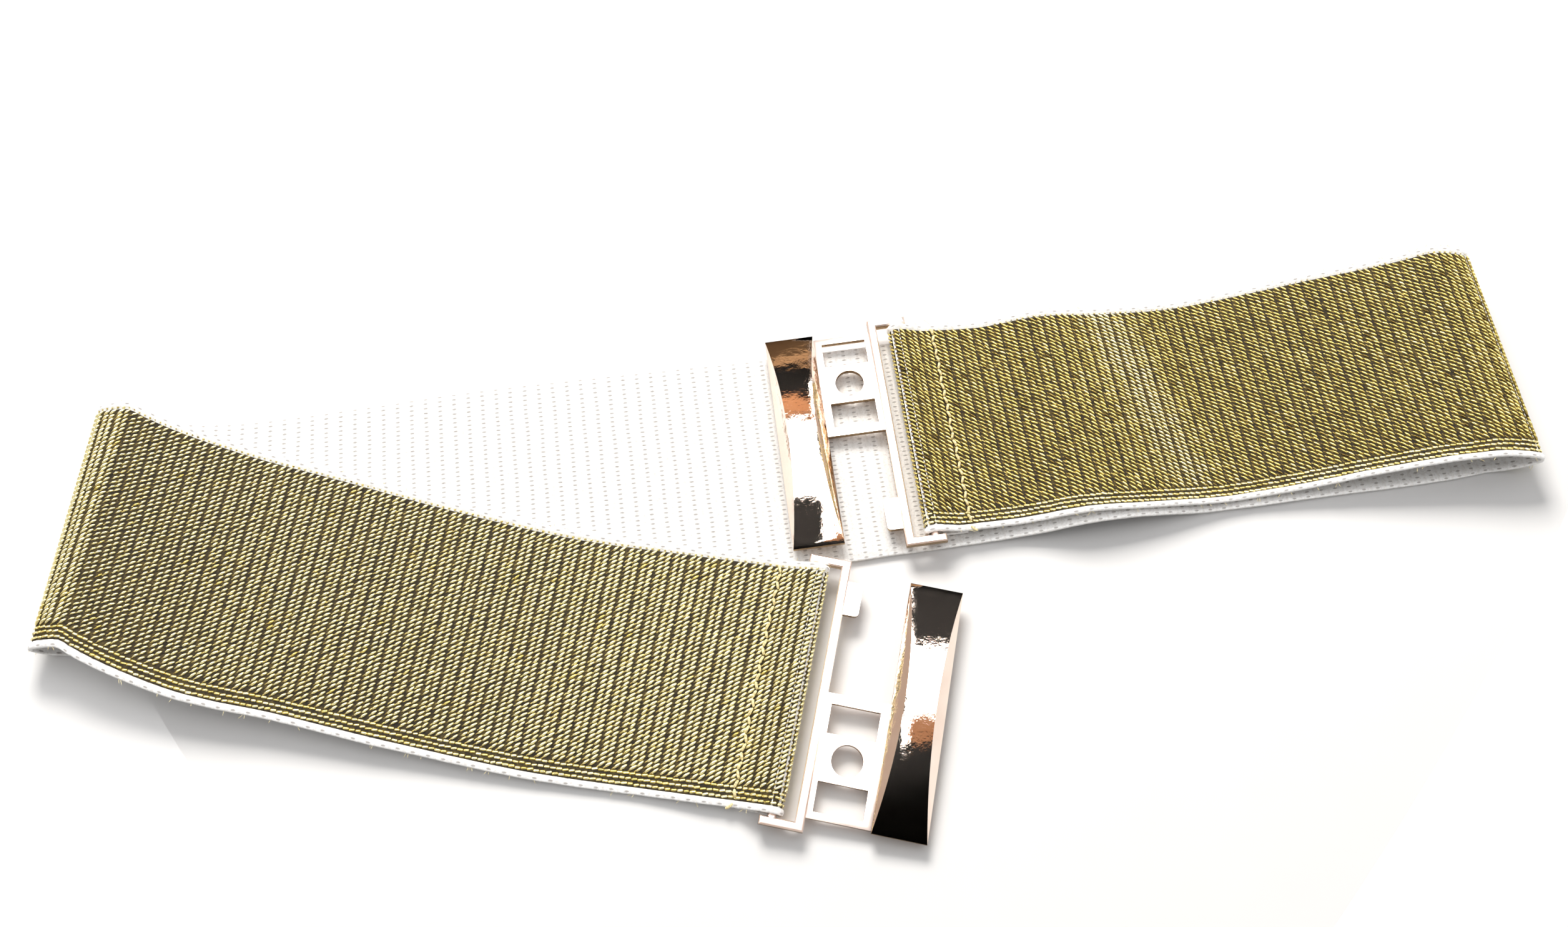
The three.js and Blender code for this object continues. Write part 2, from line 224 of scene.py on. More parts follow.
def thread(name, dark, light):
    made, tree, shader = material(name)
    colour = ramp(tree, noise(tree, 2400.0, 3.0), [(0.3, dark), (0.65, light)])
    tree.links.new(colour, shader.inputs["Base Color"])
    shader.inputs["Roughness"].default_value = 0.6
    shader.inputs["Sheen Weight"].default_value = 0.3
    bump(tree, shader, noise(tree, 4200.0, 2.0), 0.5, 0.0001)
    return made


def plated_metal(name, dark, light, low, high):
    """Plating with a faint orange peel and fine grain. low and high bound its roughness."""
    made, tree, shader = material(name)
    cloud = noise(tree, 90.0, 4.0)
    colour = ramp(tree, cloud, [(0.3, dark), (0.7, light)])
    tree.links.new(colour, shader.inputs["Base Color"])
    shader.inputs["Metallic"].default_value = 1.0
    rough = tree.nodes.new("ShaderNodeMapRange")
    rough.inputs["To Min"].default_value = low
    rough.inputs["To Max"].default_value = high
    tree.links.new(noise(tree, 700.0, 5.0, 0.7), rough.inputs["Value"])
    tree.links.new(rough.outputs[0], shader.inputs["Roughness"])
    peel = noise(tree, 240.0, 3.0)
    grain = noise(tree, 2600.0, 2.0)
    both = tree.nodes.new("ShaderNodeMath")
    both.operation = "MULTIPLY_ADD"
    both.inputs[1].default_value = 0.12
    tree.links.new(grain, both.inputs[0])
    tree.links.new(peel, both.inputs[2])
    bump(tree, shader, both.outputs[0], 0.22, 0.0003)
    return made


# The strip's rails, read from the plain CAD solid

CORNERS = 8  # of the solid's section


def capped_end(mesh):
    """The ring of corners round one cut end, in order."""
    for vert in mesh.verts:
        if len(vert.link_edges) != 4:
            continue
        for start in vert.link_faces:
            faces = {start}
            rim = [start]
            while rim:
                face = rim.pop()
                for edge in face.edges:
                    for other in edge.link_faces:
                        if other not in faces and other.normal.dot(start.normal) > 0.9999:
                            faces.add(other)
                            rim.append(other)
            verts = {v for face in faces for v in face.verts}
            if len(verts) == CORNERS and len(faces) == CORNERS - 2:
                return ordered_ring(faces)
    raise RuntimeError("the strip has no plain cut end")


def ordered_ring(faces):
    border = {}
    for face in faces:
        for edge in face.edges:
            if sum(other in faces for other in edge.link_faces) == 1:
                a, b = edge.verts
                border.setdefault(a, []).append(b)
                border.setdefault(b, []).append(a)
    first = min(border, key=lambda v: v.index)
    ring = [first]
    while len(ring) < len(border):
        ring.append(next(v for v in border[ring[-1]] if v not in ring[-2:]))
    return ring


def next_ring(ring, ahead):
    """The corners opposite a ring's. Each corner shares the right one ahead with a neighbour."""
    links = [{e.other_vert(v) for e in v.link_edges} & ahead for v in ring]
    choices = []
    for side in (1, -1):
        shared = [links[k] & links[(k + side) % CORNERS] for k in range(CORNERS)]
        if all(len(both) == 1 for both in shared):
            choices.append([both.copy().pop() for both in shared])

    def total(found):
        return sum((a.co - b.co).length for a, b in zip(ring, found))

    return min(choices, key=total)


def strip_rings():
    """Eight corners for each row of the solid: four on one face from edge to edge, then four back."""
    mesh = bmesh.new()
    mesh.from_mesh(frame["nodes"]["elastic_band"].data)
    bmesh.ops.remove_doubles(mesh, verts=mesh.verts, dist=WELD)
    mesh.normal_update()
    ring = capped_end(mesh)
    sides = [(ring[k].co - ring[(k + 1) % CORNERS].co).length for k in range(CORNERS)]
    turn = int(np.argmin(sides)) + 1
    ring = ring[turn % CORNERS:] + ring[:turn % CORNERS]
    rings = [ring]
    seen = set(ring)
    while True:
        ahead = {e.other_vert(v) for v in ring for e in v.link_edges} - seen
        if not ahead:
            break
        ring = next_ring(ring, ahead)
        rings.append(ring)
        seen |= ahead
    points = np.array([[v.co[:] for v in ring] for ring in rings])
    mesh.free()
    return points


def read_rails():
    """Four rails: the gold face's far and near edges, then the white face's."""
    rings = strip_rings()
    rails = [rings[:, 0], rings[:, 3], rings[:, 7], rings[:, 4]]
    middle = rings.mean(axis=1)
    tip = int(np.argmax(middle[:, 0]))
    if rails[0][tip, 0] < rails[2][tip, 0]:
        rails = [rails[2], rails[3], rails[0], rails[1]]
    if rails[0][:, 1].mean() < rails[1][:, 1].mean():
        rails = [rails[1], rails[0], rails[3], rails[2]]
    upper_rod = Vector(next(j for j in frame["joints"] if j["name"] == "clasp_upper_swing")["pos_m"])
    if (Vector(middle[0]) - upper_rod).length < (Vector(middle[-1]) - upper_rod).length:
        rails = [rail[::-1] for rail in rails]
    return np.array(rails)


RAILS = read_rails()
MIDDLE = RAILS.mean(axis=0)
KNOTS = np.concatenate([[0.0], np.cumsum(np.linalg.norm(np.diff(MIDDLE, axis=0), axis=1))])
LENGTH = float(KNOTS[-1])
SLOPES = np.array([np.gradient(rail, KNOTS, axis=0) for rail in RAILS])
WIDTH = float(np.linalg.norm(RAILS[0, 0] - RAILS[1, 0]))


def rails_at(s):
    """The four rails at distances s along the strip, as smooth curves through the solid's rows."""
    s = np.clip(np.asarray(s, float), 0.0, LENGTH)
    k = np.clip(np.searchsorted(KNOTS, s, side="right") - 1, 0, len(KNOTS) - 2)
    h = KNOTS[k + 1] - KNOTS[k]
    t = ((s - KNOTS[k]) / h)[None, :, None]
    h = h[None, :, None]
    t2, t3 = t * t, t * t * t
    return ((2 * t3 - 3 * t2 + 1) * RAILS[:, k] + (t3 - 2 * t2 + t) * h * SLOPES[:, k]
            + (3 * t2 - 2 * t3) * RAILS[:, k + 1] + (t3 - t2) * h * SLOPES[:, k + 1])


def on_strip(s, across, height):
    """Points of the strip. across runs from the far edge to the near one, height from white to gold."""
    s = np.atleast_1d(np.asarray(s, float))
    across = np.broadcast_to(across, s.shape)[:, None]
    height = np.broadcast_to(height, s.shape)[:, None]
    rail = rails_at(s)
    gold = rail[0] * (1 - across) + rail[1] * across
    white = rail[2] * (1 - across) + rail[3] * across
    return white * (1 - height) + gold * height


def strip_axes(s, across):
    """Unit vectors along the strip, towards its far edge and out of the gold face, a row for each place."""
    step = 0.2 * MM
    along = on_strip(s + step, across, 0.7) - on_strip(s - step, across, 0.7)
    up = on_strip(s, across, 1.0) - on_strip(s, across, 0.0)
    far = on_strip(s, 0.0, 0.7) - on_strip(s, 1.0, 0.7)
    return [v / np.linalg.norm(v, axis=1, keepdims=True) for v in (along, far, up)]


# Mesh builders

def add_mesh(name, points, faces, surface, smooth=True):
    data = bpy.data.meshes.new(name)
    data.from_pydata([tuple(p) for p in points], [], faces)
    data.update()
    data.materials.append(surface)
    if smooth:
        data.shade_smooth()
    made = bpy.data.objects.new(name, data)
    bpy.context.scene.collection.objects.link(made)
    return made


def set_tone(piece, values):
    layer = piece.data.attributes.new("tone", "FLOAT", "POINT")
    layer.data.foreach_set("value", np.asarray(values, np.float32))


WANDER_LIMIT = 0.35 * MM  # of an edge from its straight course


def swept_strip(name, profile, step, surface, wander=0.0):
    """A closed body along the strip. profile lists (across, height) round its section."""
    rows = int(round(LENGTH / step)) + 1
    s = np.linspace(0.0, LENGTH, rows)
    size = len(profile)
    shape = np.array(profile)
    drift = wander * np.cumsum(rng.normal(size=(rows, 2)), axis=0)
    drift -= np.linspace(0, 1, rows)[:, None] * drift[-1]
    drift = np.clip(drift, -WANDER_LIMIT, WANDER_LIMIT) / WIDTH
    points = np.empty((rows, size, 3))
    for k, (across, height) in enumerate(shape):
        shift = drift[:, 0] if across < 0.5 else drift[:, 1]
        near_edge = abs(across - 0.5) > 0.4
        points[:, k] = on_strip(s, np.clip(across + shift * near_edge, -0.01, 1.01), height)
    faces = []
    for i in range(rows - 1):
        for k in range(size):
            a, b = i * size + k, i * size + (k + 1) % size
            faces.append((a, b, b + size, a + size))
    faces.append(tuple(range(size - 1, -1, -1)))
    faces.append(tuple((rows - 1) * size + k for k in range(size)))
    piece = add_mesh(name, points.reshape(-1, 3), faces, surface)
    uv = piece.data.uv_layers.new(name=STRIP_MAP)
    loops = np.empty(len(piece.data.loops), np.int32)
    piece.data.loops.foreach_get("vertex_index", loops)
    u = (s / MM)[loops // size]
    v = (shape[:, 0] * WIDTH / MM)[loops % size]
    uv.data.foreach_set("uv", np.stack([u, v], axis=1).ravel().astype(np.float32))
    tidy_normals(piece)
    return piece


def tidy_normals(piece):
    mesh = bmesh.new()
    mesh.from_mesh(piece.data)
    bmesh.ops.recalc_face_normals(mesh, faces=mesh.faces)
    mesh.to_mesh(piece.data)
    mesh.free()


def grain_shape(sides, stations):
    """A closed grain of unit length, width and height, pointed at both ends and flatter below."""
    points = [(-0.5, 0.0, 0.25)]
    for place, size in stations:
        for k in range(sides):
            angle = 2 * math.pi * k / sides
            rise = math.sin(angle)
            height = 0.3 + size * (0.7 * rise if rise > 0 else 0.3 * rise)
            points.append((place, 0.5 * size * math.cos(angle), height))
    points.append((0.5, 0.0, 0.25))
    faces = [(0, 1 + (k + 1) % sides, 1 + k) for k in range(sides)]
    for i in range(len(stations) - 1):
        for k in range(sides):
            a, b = 1 + i * sides + k, 1 + i * sides + (k + 1) % sides
            faces.append((a, b, b + sides, a + sides))
    last = 1 + (len(stations) - 1) * sides
    faces += [(last + k, last + (k + 1) % sides, len(points) - 1) for k in range(sides)]
    return np.array(points), faces


def add_grains(name, shape, s, across, height, lean, size, tones, surface):
    """One mesh of many grains that lie on the strip. size holds their length, width and rise."""
    points, faces = shape
    along, far, up = strip_axes(s, across)
    length, width, rise = (np.broadcast_to(v, s.shape)[:, None] for v in size)
    axis = along * np.cos(lean)[:, None] + far * np.sin(lean)[:, None]
    side = np.cross(up, axis)
    base = on_strip(s, across, height)
    bend = points[:, 0] ** 2 * 0.5
    placed = (base[:, None, :]
              + axis[:, None, :] * (length * points[None, :, 0])[..., None]
              + side[:, None, :] * (width * points[None, :, 1])[..., None]
              + up[:, None, :] * (rise * (points[None, :, 2] - bend[None, :]))[..., None])
    every = []
    for i in range(len(s)):
        base_index = i * len(points)
        every += [tuple(base_index + v for v in face) for face in faces]
    piece = add_mesh(name, placed.reshape(-1, 3), every, surface)
    set_tone(piece, np.repeat(tones, len(points)))
    tidy_normals(piece)
    return piece


def capsule_path(points, radius, sides=7):
    """Points and faces of a closed tube through points, with pinched ends."""
    points = np.asarray(points, float)
    tangent = np.gradient(points, axis=0)
    tangent /= np.linalg.norm(tangent, axis=1, keepdims=True)
    guide = np.array([0.31, 0.17, 0.93])
    side = np.cross(tangent, guide)
    side /= np.linalg.norm(side, axis=1, keepdims=True)
    over = np.cross(side, tangent)
    made = []
    for i, point in enumerate(points):
        r = radius * (0.55 if i in (0, len(points) - 1) else 1.0)
        for k in range(sides):
            angle = 2 * math.pi * k / sides
            made.append(point + r * (math.cos(angle) * side[i] + math.sin(angle) * over[i]))
    faces = []
    for i in range(len(points) - 1):
        for k in range(sides):
            a, b = i * sides + k, i * sides + (k + 1) % sides
            faces.append((a, b, b + sides, a + sides))
    faces.append(tuple(range(sides - 1, -1, -1)))
    faces.append(tuple((len(points) - 1) * sides + k for k in range(sides)))
    return np.array(made), faces


def add_tubes(name, paths, radius, surface):
    points, faces = [], []
    for path in paths:
        p, f = capsule_path(path, radius)
        base = sum(len(q) for q in points)
        points.append(p)
        faces += [tuple(base + v for v in face) for face in f]
    piece = add_mesh(name, np.concatenate(points), faces, surface)
    tidy_normals(piece)
    return piece


# Places along the strip

PACE = 0.25 * MM  # of a search along the strip
# Upward parts of the gold face's normal that end a search
RUN_END = -0.93  # under a fold
EYE_START = -0.9  # under a rod
ON_TOP = 0.9  # beyond a rod


def facing_up(s):
    """The upward part of the gold face's normal at a distance along the strip."""
    return strip_axes(s, 0.5)[2][0, 2]


trial = np.linspace(0, LENGTH, 3000)
trial_x = on_strip(trial, 0.5, 0.5)[:, 0]
LEFT_TIP = float(trial[np.argmin(trial_x)])
RIGHT_TIP = float(trial[np.argmax(trial_x)])


def first_downward(start, direction):
    """Where the gold face turns to the table beyond a fold's tip."""
    s = start
    while facing_up(s) > RUN_END:
        s += direction * PACE
    return s


LEFT_END = first_downward(LEFT_TIP, 1)
RIGHT_START = first_downward(RIGHT_TIP, -1)


def eye_start(from_end):
    """Where the gold face comes up from under the rod, going in from a hem's end."""
    s = 0.0
    while facing_up(LENGTH - s if from_end else s) < EYE_START:
        s += PACE
    return s


LEFT_EYE = eye_start(False)
RIGHT_EYE = LENGTH - eye_start(True)

# Strip pieces

white = white_weave()
# The gold ground's material carries painted shade: it is near black where the floats leave gaps.
ground = gold_ground_painted_shade()
bright = gold_floats("gold_floats", (0.13, 0.088, 0.012), (0.84, 0.69, 0.22), (1.0, 0.95, 0.60), 0.2)
# The thin floats lie low between the main ones. Their darker colours are partly their own and partly
# painted shade in those gaps.
dim = gold_floats("thin_floats", (0.02, 0.013, 0.002), (0.20, 0.14, 0.025), (0.62, 0.52, 0.18), 0.32)
selvage = SELVAGE / WIDTH


def white_profile():
    """The white elastic's section: two raised edges, with a lower middle under the gold ground."""
    inset = 0.0035
    top = [
        (0.0, 0.80),
        (inset, 0.97),
        (selvage * 0.6, SELVAGE_TOP),
        (selvage, 0.86),
        (selvage + 0.004, MIDDLE_TOP),
    ]
    low = [(0.0, 0.22), (inset, 0.04), (0.03, 0.0)]
    inner = [(v, MIDDLE_TOP) for v in np.linspace(0.1, 0.9, 9)]
    under = [(v, 0.0) for v in np.linspace(0.9, 0.1, 9)]
    mirrored = [(1 - v, h) for v, h in reversed(top)]
    mirrored_low = [(1 - v, h) for v, h in low]
    return top + inner + mirrored + mirrored_low + under + list(reversed(low))


def ground_profile():
    """The gold ground's section, sunk a little into the white elastic."""
    lip = selvage + 0.0045
    top = [(v, GROUND_TOP) for v in np.linspace(lip + 0.004, 1 - lip - 0.004, 12)]
    low = [(v, 0.5) for v in np.linspace(1 - lip, lip, 12)]
    return [(lip, 0.6)] + top + [(1 - lip, 0.6)] + low


belt_pieces = []
strip = swept_strip("white_ground", white_profile(), 1.1 * MM, white, wander=0.02 * MM)
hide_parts("elastic_band")
belt_pieces.append(strip)
gold = swept_strip("gold_ground_painted_shade", ground_profile(), 1.6 * MM, ground)
belt_pieces.append(gold)


def column_places(start, end):
    """Column centres in pairs, the second of a pair a little nearer than an even spacing."""
    count = int((end - start) / COLUMN_PITCH)
    places = start + (np.arange(count) + 0.5) * (end - start) / count
    return places + np.where(np.arange(count) % 2, -COLUMN_SHIFT, COLUMN_SHIFT) * COLUMN_PITCH


def float_layout(start, end):
    """Distance along, share across and column of each float of one gold run."""
    columns = column_places(start, end)
    margin = selvage + 0.007
    low = margin
    high = 1 - margin - EDGE_ROWS * FLOAT_PITCH / WIDTH
    count = int((high - low) * WIDTH / FLOAT_PITCH)
    rows = low + (np.arange(count) + 0.5) * (high - low) / count
    s, v = np.meshgrid(columns, rows, indexing="ij")
    s = s + rng.normal(0, 0.05 * MM, s.shape)
    v = v + rng.normal(0, 0.04 * MM, v.shape) / WIDTH
    return s.ravel(), v.ravel(), np.repeat(np.arange(len(columns)), count)


def float_tones(columns, count, middle):
    """Tones drift from column to column, with single dull floats among them."""
    drift = np.cumsum(rng.normal(0, 0.05, columns.max() + 1))
    drift -= np.convolve(np.pad(drift, 6, mode="edge"), np.ones(13) / 13, mode="valid")
    spread = rng.normal(0, TONE_SPREAD, count)
    tones = middle + DRIFT_SHARE * drift[columns] + spread + np.where(columns % 2, -0.04, 0.03)
    dull = rng.random(count) < DULL_SHARE
    tones[dull] -= rng.uniform(0.25, 0.6, dull.sum())
    return np.clip(tones, 0, 1)


# Painted light and shade: the left run's floats are painted lighter and the right run's darker, for how
# each run faces the light.
RUN_TONE_AND_SHADE = {"left": 0.97, "right": 0.40}
RUN_WIDTH = {"left": 1.12, "right": 0.88}  # of the floats, against FLOAT_WIDTH
TONE_SPREAD = 0.11
DRIFT_SHARE = 0.3
DULL_SHARE = 0.02
# A painted highlight across the right run, a paler band of floats where light catches a crease, as shares
# of the run from its eye
CREASE_HIGHLIGHT_PLACE = 0.35
CREASE_HIGHLIGHT_SKEW = 0.09
CREASE_HIGHLIGHT_REACH = 0.035
CREASE_HIGHLIGHT_TONE = 0.4
MAIN_GRAIN = grain_shape(8, [(-0.36, 0.66), (0.0, 1.0), (0.36, 0.66)])
THIN_GRAIN = grain_shape(5, [(-0.28, 0.9), (0.28, 0.9)])
EDGE_GRAIN = grain_shape(6, [(-0.34, 0.8), (0.34, 0.8)])


def turned(lean, direction):
    """A lean seen on the table, turned into one against the strip's own length."""
    return lean if direction > 0 else np.pi - lean


def add_gold_run(side, start, end, direction):
    """The floats of one gold run. direction is 1 where the strip's own length runs to the right."""
    s, v, column = float_layout(start, end)
    count = len(s)
    lean = turned(FLOAT_LEAN + rng.normal(0, 0.07, count), direction)
    tones = float_tones(column, count, RUN_TONE_AND_SHADE[side])
    if side == "right":
        # Painted highlight: floats in a slanted band across the right run are painted paler.
        place = (end - s) / (end - start) - CREASE_HIGHLIGHT_PLACE - CREASE_HIGHLIGHT_SKEW * v
        tones = np.clip(tones + CREASE_HIGHLIGHT_TONE * np.exp(-(place / CREASE_HIGHLIGHT_REACH) ** 2), 0, 1)
    length = FLOAT_LENGTH * rng.normal(1.0, 0.05, count)
    width = FLOAT_WIDTH * RUN_WIDTH[side] * rng.normal(1.0, 0.06, count)
    rise = FLOAT_RISE * (0.75 + 0.35 * tones)
    half = column <= column.max() // 2
    for part, chosen in (("a", half), ("b", ~half)):
        size = (length[chosen], width[chosen], rise[chosen])
        piece = add_grains(f"{side}_floats_{part}", MAIN_GRAIN, s[chosen], v[chosen], FLOAT_FOOT,
                           lean[chosen], size, tones[chosen], bright)
        belt_pieces.append(piece)
    shift = 0.5 * FLOAT_PITCH / WIDTH
    thin_v = v + shift + rng.normal(0, 0.05 * MM, count) / WIDTH
    thin_s = s + 0.42 * COLUMN_PITCH * np.where(rng.random(count) < 0.5, 1, 0.85)
    thin = add_grains(f"{side}_thin_floats", THIN_GRAIN, thin_s, thin_v, FLOAT_FOOT - 0.02, lean,
                      (THIN_LENGTH, THIN_WIDTH, THIN_RISE * rng.uniform(0.8, 1.25, count)),
                      np.clip(rng.normal(0.45, 0.22, count), 0, 1), dim)
    belt_pieces.append(thin)
    add_edge_rows(side, start, end, direction)


def add_edge_rows(side, start, end, direction):
    """Rows of floats along the near edge, just inside the white selvage, and one at the far edge."""
    count = int((end - start) / EDGE_PITCH)
    s, v, lean = [], [], []
    for row in range(EDGE_ROWS):
        places = start + (np.arange(count) + 0.5 + 0.5 * (row % 2)) * (end - start) / (count + 0.5)
        s.append(places)
        v.append(np.full(count, 1 - selvage - 0.006 - (row + 0.45) * FLOAT_PITCH / WIDTH))
        lean.append(np.full(count, EDGE_LEAN))
    s.append(start + (np.arange(count) + 0.5) * (end - start) / count)
    v.append(np.full(count, selvage * 0.62))
    lean.append(np.full(count, FAR_LEAN))
    s, v, lean = (np.concatenate(x) for x in (s, v, lean))
    total = len(s)
    lean = turned(lean, direction) + rng.normal(0, 0.08, total)
    length = EDGE_LENGTH * rng.normal(1, 0.06, total)
    width = EDGE_WIDTH * rng.normal(1, 0.06, total)
    v = v + rng.normal(0, 0.05 * MM, total) / WIDTH
    tones = np.clip(rng.normal(0.62, 0.17, total), 0, 1)
    piece = add_grains(f"{side}_edge_floats", EDGE_GRAIN, s, v, FLOAT_FOOT, lean,
                       (length, width, EDGE_RISE), tones, bright)
    belt_pieces.append(piece)


add_gold_run("left", LEFT_EYE, LEFT_END, -1)
add_gold_run("right", RIGHT_START, RIGHT_EYE, 1)

# Seams

yarn = thread("seam_thread", (0.45, 0.32, 0.10), (0.93, 0.83, 0.46))
SEAM_IN = 10.6 * MM  # from where the eye's round ends to the seam
TAIL_BEND = 1.4 * MM  # of the thread's end at the near edge
LOOSE_THREAD = 1.6 * MM  # how far the right seam's loose thread strays


def add_seam(side, place, direction):
    """A line of stitches across the strip, each a short raised thread that dips in at both ends."""
    count = int(WIDTH * SEAM_SHARE / STITCH_PITCH)
    paths = []
    for i in range(count):
        start = SEAM_INSET + i * STITCH_PITCH / WIDTH
        v = start + np.linspace(0.08, 0.92, 7) * STITCH_PITCH / WIDTH
        zig = STITCH_ZIG * (1 if i % 2 else -1) * np.linspace(-1, 1, 7)
        s = place + zig + rng.normal(0, 0.08 * MM)
        height = 0.86 + 0.34 * np.sin(np.linspace(0, np.pi, 7))
        paths.append(on_strip(s, v, height))
    tail = np.linspace(0, 1, 9)
    s = place + direction * TAIL_BEND * tail ** 2
    paths.append(on_strip(s, 0.985 + 0.022 * tail, 1.05 - 0.35 * tail))
    piece = add_tubes(f"{side}_seam", paths, STITCH_RADIUS, yarn)
    belt_pieces.append(piece)


def seam_place(eye, direction):
    """Where the strip first faces up beyond the rod, plus the seam's distance."""
    s = eye
    while facing_up(s) < ON_TOP:
        s += direction * PACE
    return s + direction * SEAM_IN


add_seam("left", seam_place(LEFT_EYE, 1), 1)
RIGHT_SEAM = seam_place(RIGHT_EYE, -1)
add_seam("right", RIGHT_SEAM, -1)


def add_loose_ends():
    """Short fibres that stand out of both edges, and the right seam's loose thread."""
    paths = []
    for _ in range(FIBRES):
        left = rng.random() < 0.5
        s = rng.uniform(LEFT_EYE, LEFT_END) if left else rng.uniform(RIGHT_START, RIGHT_EYE)
        out = rng.uniform(0.4, 1.1) * MM / WIDTH
        near = rng.random() < 0.35
        t = np.linspace(0, 1, 5)
        across = 1.0 + out * t if near else -out * t
        paths.append(on_strip(s + rng.normal(0, 0.7 * MM) * t, across, 0.7 + rng.normal(0, 0.2) * t))
    t = np.linspace(0, 1, 9)
    paths.append(on_strip(RIGHT_SEAM + LOOSE_THREAD * t, -0.028 * t, 0.9 + 0.5 * t * (1 - t)))
    piece = add_tubes("edge_fibres", paths, FIBRE_RADIUS, yarn)
    belt_pieces.append(piece)


add_loose_ends()

for piece in belt_pieces:
    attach(piece, "belt")

# Clasp halves

polished = plated_metal("polished_plating", (0.86, 0.70, 0.60), (0.96, 0.83, 0.73), 0.03, 0.07)
satin = plated_metal("satin_plating", (0.84, 0.69, 0.62), (0.94, 0.82, 0.76), 0.26, 0.42)
# Painted shade: the same plating painted darker, for the shade and dark reflections on the side walls.
wall_shade = plated_metal("wall_plating_painted_shade", (0.27, 0.17, 0.085), (0.46, 0.32, 0.18), 0.2, 0.34)
BOW_WIDTH = 12.8 * MM
BOW_MARGIN = 1.01  # so that the bar's inner edge counts
WALL_SLOPE = 0.45  # a face is a wall when its normal rises less than this
EDGE_ROUND = 0.16 * MM
SAME_PLANE = math.radians(0.3)
SHARP = math.radians(28)  # edges that get a round
CREASED = math.radians(32)  # edges that stay sharp in shading


def finish_and_shade_faces(data, joint):
    """Gives the bow bar's broad faces a mirror finish, and paints all side walls darker as painted shade
    and painted dark reflection.
    """
    rod = Vector(joint["pos_m"])
    outward = Vector(joint["axis"]).cross(Vector((0, 0, 1))).normalized()
    reach = [(v.co - rod).dot(outward) for v in data.vertices]
    far = max(map(abs, reach))
    for face in data.polygons:
        nearest = min(abs(reach[v]) for v in face.vertices)
        # Side walls get the darker plating as painted shade.
        if abs(face.normal.z) < WALL_SLOPE:
            face.material_index = 2
        elif nearest > far - BOW_WIDTH * BOW_MARGIN:
            face.material_index = 1


def add_casting(node, body, joint_name):
    """The casting's solid with its triangles joined in pairs, its edges rounded and its arch smooth."""
    joint = next(j for j in frame["joints"] if j["name"] == joint_name)
    mesh = bmesh.new()
    mesh.from_mesh(frame["nodes"][node].data)
    bmesh.ops.remove_doubles(mesh, verts=mesh.verts, dist=WELD)
    bmesh.ops.join_triangles(mesh, faces=mesh.faces, angle_face_threshold=SAME_PLANE,
                             angle_shape_threshold=math.pi)
    data = bpy.data.meshes.new(node + "_polished")
    mesh.to_mesh(data)
    mesh.free()
    for finish in (satin, polished, wall_shade):
        data.materials.append(finish)
    piece = bpy.data.objects.new(node + "_polished", data)
    bpy.context.scene.collection.objects.link(piece)
    bevel = piece.modifiers.new("edges", "BEVEL")
    bevel.width = EDGE_ROUND
    bevel.segments = 3
    bevel.limit_method = "ANGLE"
    bevel.angle_limit = SHARP
    bevel.harden_normals = False
    bpy.context.view_layer.update()
    rounded = piece.evaluated_get(bpy.context.evaluated_depsgraph_get())
    made = bpy.data.meshes.new_from_object(rounded)
    piece.modifiers.clear()
    piece.data = made
    made.shade_smooth()
    made.set_sharp_from_angle(angle=CREASED)
    finish_and_shade_faces(made, joint)
    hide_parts(node)
    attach(piece, body)


add_casting("clasp_half_upper", "upper_clasp", "clasp_upper_swing")
add_casting("clasp_half_lower", "lower_clasp", "clasp_lower_swing")

# Stage

FLOOR_SIZE = 6.0
FLOOR_DROP = 0.05 * MM  # below the belt
FLOOR_WHITE = (0.9, 0.895, 0.89)


def stage_plane(name, size, place, surface):
    w, d = size
    corners = [(-w / 2, -d / 2, 0), (w / 2, -d / 2, 0), (w / 2, d / 2, 0), (-w / 2, d / 2, 0)]
    made = add_mesh(name, corners, [(0, 1, 2, 3)], surface, smooth=False)
    made.location = place
    return made


def matt(name, colour):
    made, tree, shader = material(name)
    grain = ramp(tree, noise(tree, 60.0), [(0.3, tuple(0.99 * c for c in colour)), (0.7, colour)])
    tree.links.new(grain, shader.inputs["Base Color"])
    shader.inputs["Roughness"].default_value = 0.9
    shader.inputs["Specular IOR Level"].default_value = 0.0
    return made


stage_plane("table", (FLOOR_SIZE, FLOOR_SIZE), (0, 0, -FLOOR_DROP), matt("table_white", FLOOR_WHITE))


def glossy_card(name, size, place, colour):
    """A card over the belt that only reflections see."""
    card = stage_plane(name, size, place, matt(name + "_paint", colour))
    card.visible_camera = False
    card.visible_diffuse = False
    card.visible_shadow = False
    card.visible_transmission = False
    return card


CARD_HEIGHT = 0.6
NEAR_BLACK = (0.0015, 0.0016, 0.0015)
AMBER = (0.42, 0.20, 0.09)
BRONZE = (0.12, 0.075, 0.04)
# What the two arched bars reflect, the upper one to the left: low corner, high corner and paint
CARDS = {
    "dark_near_left": ((-0.9, -0.8), (0.03, 0.118), NEAR_BLACK),
    "dark_near_right": ((0.03, -0.8), (0.9, -0.03), NEAR_BLACK),
    "dark_far_left": ((-0.9, 0.47), (0.048, 0.66), NEAR_BLACK),
    "bronze_far_left": ((-0.9, 0.66), (0.048, 3.0), BRONZE),
    "dark_far_right": ((0.062, 0.23), (0.9, 3.0), NEAR_BLACK),
    "amber_left": ((-0.3, 0.385), (0.048, 0.47), AMBER),
    "dark_line_left": ((-0.3, 0.36), (0.048, 0.385), NEAR_BLACK),
    "amber_right": ((0.075, -0.03), (0.3, 0.04), AMBER),
}
for card_name, (low, high, paint) in CARDS.items():
    card_size = (high[0] - low[0], high[1] - low[1])
    card_place = ((low[0] + high[0]) / 2, (low[1] + high[1]) / 2, CARD_HEIGHT)
    glossy_card(card_name, card_size, card_place, paint)


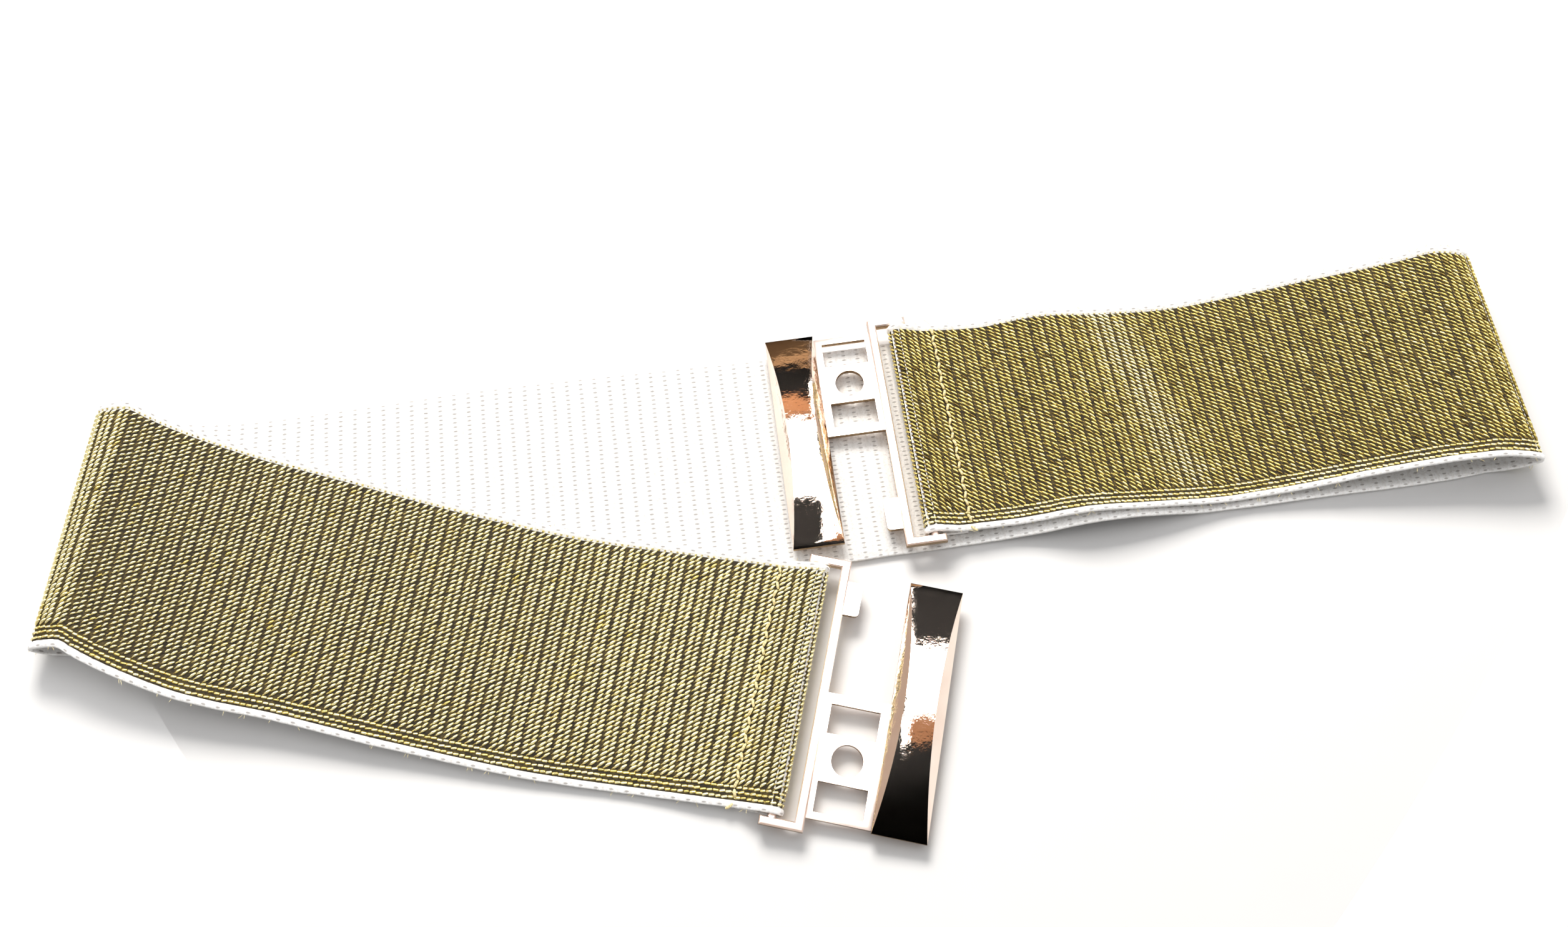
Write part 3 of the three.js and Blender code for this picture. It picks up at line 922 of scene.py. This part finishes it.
def area_light(name, size, place, aim, watts, colour):
    data = bpy.data.lights.new(name, "AREA")
    data.shape = "RECTANGLE"
    data.size, data.size_y = size
    data.energy = watts
    data.color = colour
    made = bpy.data.objects.new(name, data)
    made.location = place
    made.rotation_euler = (Vector(aim) - Vector(place)).to_track_quat("-Z", "Y").to_euler()
    bpy.context.scene.collection.objects.link(made)
    return made


SOFTBOX_SIZE = (1.5, 0.66)
SOFTBOX_PLACE = (0, 0.24, 0.62)
SOFTBOX_AIM = (0, 0.24, 0.0)
BACK_SIZE = (0.5, 0.3)
BACK_PLACE = (-0.15, 0.75, 0.55)

# One softbox is made of two lights, one for reflections and a weaker one for matt surfaces
shine = area_light("softbox_shine", SOFTBOX_SIZE, SOFTBOX_PLACE, SOFTBOX_AIM, 37.0, (1.0, 0.985, 0.97))
shine.visible_diffuse = False
fill = area_light("softbox_fill", SOFTBOX_SIZE, SOFTBOX_PLACE, SOFTBOX_AIM, 14.5, (1.0, 0.998, 1.0))
fill.visible_glossy = False
back = area_light("back_light", BACK_SIZE, BACK_PLACE, (0, 0, 0), 12.5, (1.0, 0.97, 0.93))
back.visible_glossy = False


def background(tree, colour, strength):
    node = tree.nodes.new("ShaderNodeBackground")
    node.inputs["Color"].default_value = (*colour, 1)
    node.inputs["Strength"].default_value = strength
    return node.outputs[0]


def chosen_by(tree, ray, otherwise, chosen):
    """One of two backgrounds, by the kind of ray that meets it."""
    path = tree.nodes.new("ShaderNodeLightPath")
    mix = tree.nodes.new("ShaderNodeMixShader")
    tree.links.new(path.outputs[ray], mix.inputs[0])
    tree.links.new(otherwise, mix.inputs[1])
    tree.links.new(chosen, mix.inputs[2])
    return mix.outputs[0]


def studio_world():
    """White behind the stage, softer on matt surfaces, and warmer in reflections."""
    world = bpy.data.worlds.new("studio")
    world.use_nodes = True
    tree = world.node_tree
    tree.nodes.clear()
    output = tree.nodes.new("ShaderNodeOutputWorld")
    plain = background(tree, (1.0, 0.99, 0.985), 0.32)
    warm = background(tree, (0.62, 0.50, 0.42), 0.9)
    seen = background(tree, (0.97, 0.965, 0.96), 1.0)
    lit = chosen_by(tree, "Is Glossy Ray", plain, warm)
    whole = chosen_by(tree, "Is Camera Ray", lit, seen)
    tree.links.new(whole, output.inputs[0])
    bpy.context.scene.world = world


studio_world()

# Camera: the photograph's place, pitch and lens
CAMERA_PLACE = (-0.00669, -0.11711, 0.28460)
CAMERA_PITCH = 64.53  # degrees below the horizon
CAMERA_ROLL = -0.15
CAMERA_LENS = 27.99

camera_data = bpy.data.cameras.new("camera")
camera_data.sensor_width = 36.0
camera_data.lens = CAMERA_LENS
camera_data.clip_start = 0.01
camera = bpy.data.objects.new("camera", camera_data)
tilt = Matrix.Rotation(math.radians(90 - CAMERA_PITCH), 4, "X")
roll = Matrix.Rotation(math.radians(CAMERA_ROLL), 4, "Z")
camera.matrix_world = Matrix.Translation(CAMERA_PLACE) @ tilt @ roll
bpy.context.scene.collection.objects.link(camera)
bpy.context.scene.camera = camera

scene = bpy.context.scene
scene.view_settings.view_transform = "Standard"
scene.view_settings.look = "None"
scene.view_settings.exposure = 0.0
